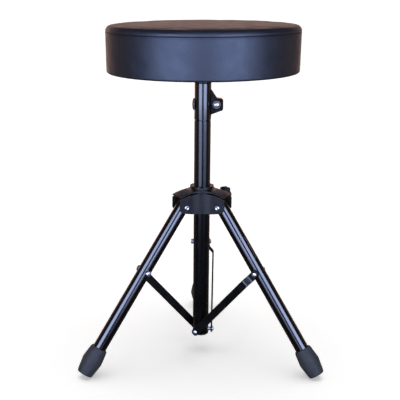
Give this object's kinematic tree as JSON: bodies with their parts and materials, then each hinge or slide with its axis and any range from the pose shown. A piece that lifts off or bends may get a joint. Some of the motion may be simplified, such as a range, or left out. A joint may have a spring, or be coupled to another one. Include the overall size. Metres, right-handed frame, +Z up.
{
  "type": "drum throne",
  "caption": "Round padded drum stool on a telescoping steel post with a folding braced tripod base, rubber feet and hand-knob clamps.",
  "frame": {"origin": "on the floor, under the centre of the whole object's box; the post stands 34.6 mm in front of it (towards -Y), because the rear foot reaches further back than the seat reaches forward", "axes": "+Z up, -Y is the front, +X is the right-hand side seen from the front"},
  "size_m": [0.3748, 0.3592, 0.526],
  "materials": {
    "seat_vinyl": "black vinyl with a fine leather grain and a satin sheen",
    "seat_foam": "cream polyurethane foam, hidden inside the cover",
    "plywood": "bare birch plywood, hidden inside the cover",
    "dust_cloth": "black spun-bonded dust cloth under the seat",
    "black_steel": "glossy black powder coat on round steel tube",
    "bracket_steel": "semi-gloss black paint on plate steel",
    "brace_steel": "black paint on flat steel strip",
    "hub_plastic": "moulded black nylon with a fine spark texture",
    "knob_plastic": "moulded black plastic",
    "white_nylon": "natural nylon bushes, hidden inside the post",
    "foot_rubber": "dark blue-grey rubber with fine moulded rings",
    "chrome_tube": "chromed seat post, hidden inside the main tube at rest",
    "dark_rivet": "dark bronze-toned plating on the domed rivet and the washer",
    "bright_rivet": "bright zinc-plated rivets, pins, bolt and screws"
  },
  "bodies": {
    "post": {"main_tube": "black_steel", "post_bush": "white_nylon", "tube_end_plug": "knob_plastic", "post_clamp": "black_steel", "clamp_bolt": "bright_rivet", "clamp_washer": "dark_rivet", "clamp_rivet": "dark_rivet", "post_rivet_1": "bright_rivet", "post_rivet_2": "bright_rivet", "post_rivet_3": "bright_rivet"},
    "clamp_knob": {"clamp_knob": "knob_plastic"},
    "seat_post": {"inner_post": "chrome_tube", "post_glide": "white_nylon"},
    "seat": {"seat_cover": "seat_vinyl", "foam_pad": "seat_foam", "plywood_base": "plywood", "dust_cover": "dust_cloth", "seat_plate": "bracket_steel", "seat_socket": "bracket_steel", "seat_screw_1": "bright_rivet", "seat_screw_2": "bright_rivet", "seat_screw_3": "bright_rivet", "seat_screw_4": "bright_rivet"},
    "hub": {"hub_crown": "hub_plastic", "hub_plate_1": "hub_plastic", "hub_plate_2": "hub_plastic", "hub_plate_3": "hub_plastic", "hub_pin_1": "bright_rivet", "hub_pin_2": "bright_rivet", "hub_pin_3": "bright_rivet"},
    "hub_knob": {"hub_knob": "knob_plastic", "hub_stud": "bright_rivet"},
    "leg_1": {"leg_tube_1": "black_steel", "leg_cap_1": "knob_plastic", "leg_pin_1": "bright_rivet", "foot_1": "foot_rubber"},
    "brace_1": {"brace_1": "brace_steel", "brace_rivet_1": "bright_rivet"},
    "leg_2": {"leg_tube_2": "black_steel", "leg_cap_2": "knob_plastic", "leg_pin_2": "bright_rivet", "foot_2": "foot_rubber"},
    "brace_2": {"brace_2": "brace_steel", "brace_rivet_2": "bright_rivet"},
    "leg_3": {"leg_tube_3": "black_steel", "leg_cap_3": "knob_plastic", "leg_pin_3": "bright_rivet", "foot_3": "foot_rubber"},
    "brace_3": {"brace_3": "brace_steel", "brace_rivet_3": "bright_rivet"}
  },
  "joints": [
    {"name": "leg_fold", "type": "slide", "parent": "post", "child": "hub", "axis": [0, 0, 1], "range_m": [0, 0.0528]},
    {"name": "seat_height", "type": "slide", "parent": "post", "child": "seat_post", "axis": [0, 0, 1], "range_m": [0, 0.12]},
    {"name": "seat_swivel", "type": "hinge", "parent": "seat_post", "child": "seat", "pos_m": [0, -0.03461, 0.445], "axis": [0, 0, 1], "continuous": true},
    {"name": "hub_knob_turn", "type": "hinge", "parent": "hub", "child": "hub_knob", "pos_m": [0, -0.03461, 0.259], "axis": [0.866, 0.5, 0], "continuous": true},
    {"name": "clamp_knob_turn", "type": "hinge", "parent": "post", "child": "clamp_knob", "pos_m": [0.0208, -0.03461, 0.4048], "axis": [0, 1, 0], "continuous": true},
    {"name": "leg_1_hinge", "type": "hinge", "parent": "hub", "child": "leg_1", "pos_m": [0.03014, -0.05201, 0.2484], "axis": [0.5, 0.866, 0], "range_deg": [0, 31.5]},
    {"name": "leg_2_hinge", "type": "hinge", "parent": "hub", "child": "leg_2", "pos_m": [0, 0.00019, 0.2484], "axis": [-1, 0, 0], "range_deg": [0, 31.5]},
    {"name": "leg_3_hinge", "type": "hinge", "parent": "hub", "child": "leg_3", "pos_m": [-0.03014, -0.05201, 0.2484], "axis": [0.5, -0.866, 0], "range_deg": [0, 31.5]},
    {"name": "brace_1_hinge", "type": "hinge", "parent": "post", "child": "brace_1", "pos_m": [0, -0.03461, 0.0358], "axis": [0.5, 0.866, 0], "range_deg": [-25.5, 0]},
    {"name": "brace_2_hinge", "type": "hinge", "parent": "post", "child": "brace_2", "pos_m": [0, -0.03461, 0.0358], "axis": [-1, 0, 0], "range_deg": [-25.5, 0]},
    {"name": "brace_3_hinge", "type": "hinge", "parent": "post", "child": "brace_3", "pos_m": [0, -0.03461, 0.0358], "axis": [0.5, -0.866, 0], "range_deg": [-25.5, 0]}
  ],
  "couplings": [
    {"joint": "leg_1_hinge", "follows": "leg_fold", "rad_per_m": 10.247},
    {"joint": "leg_2_hinge", "follows": "leg_fold", "rad_per_m": 10.247},
    {"joint": "leg_3_hinge", "follows": "leg_fold", "rad_per_m": 10.247},
    {"joint": "brace_1_hinge", "follows": "leg_fold", "rad_per_m": -8.2403},
    {"joint": "brace_2_hinge", "follows": "leg_fold", "rad_per_m": -8.2403},
    {"joint": "brace_3_hinge", "follows": "leg_fold", "rad_per_m": -8.2403}
  ]
}
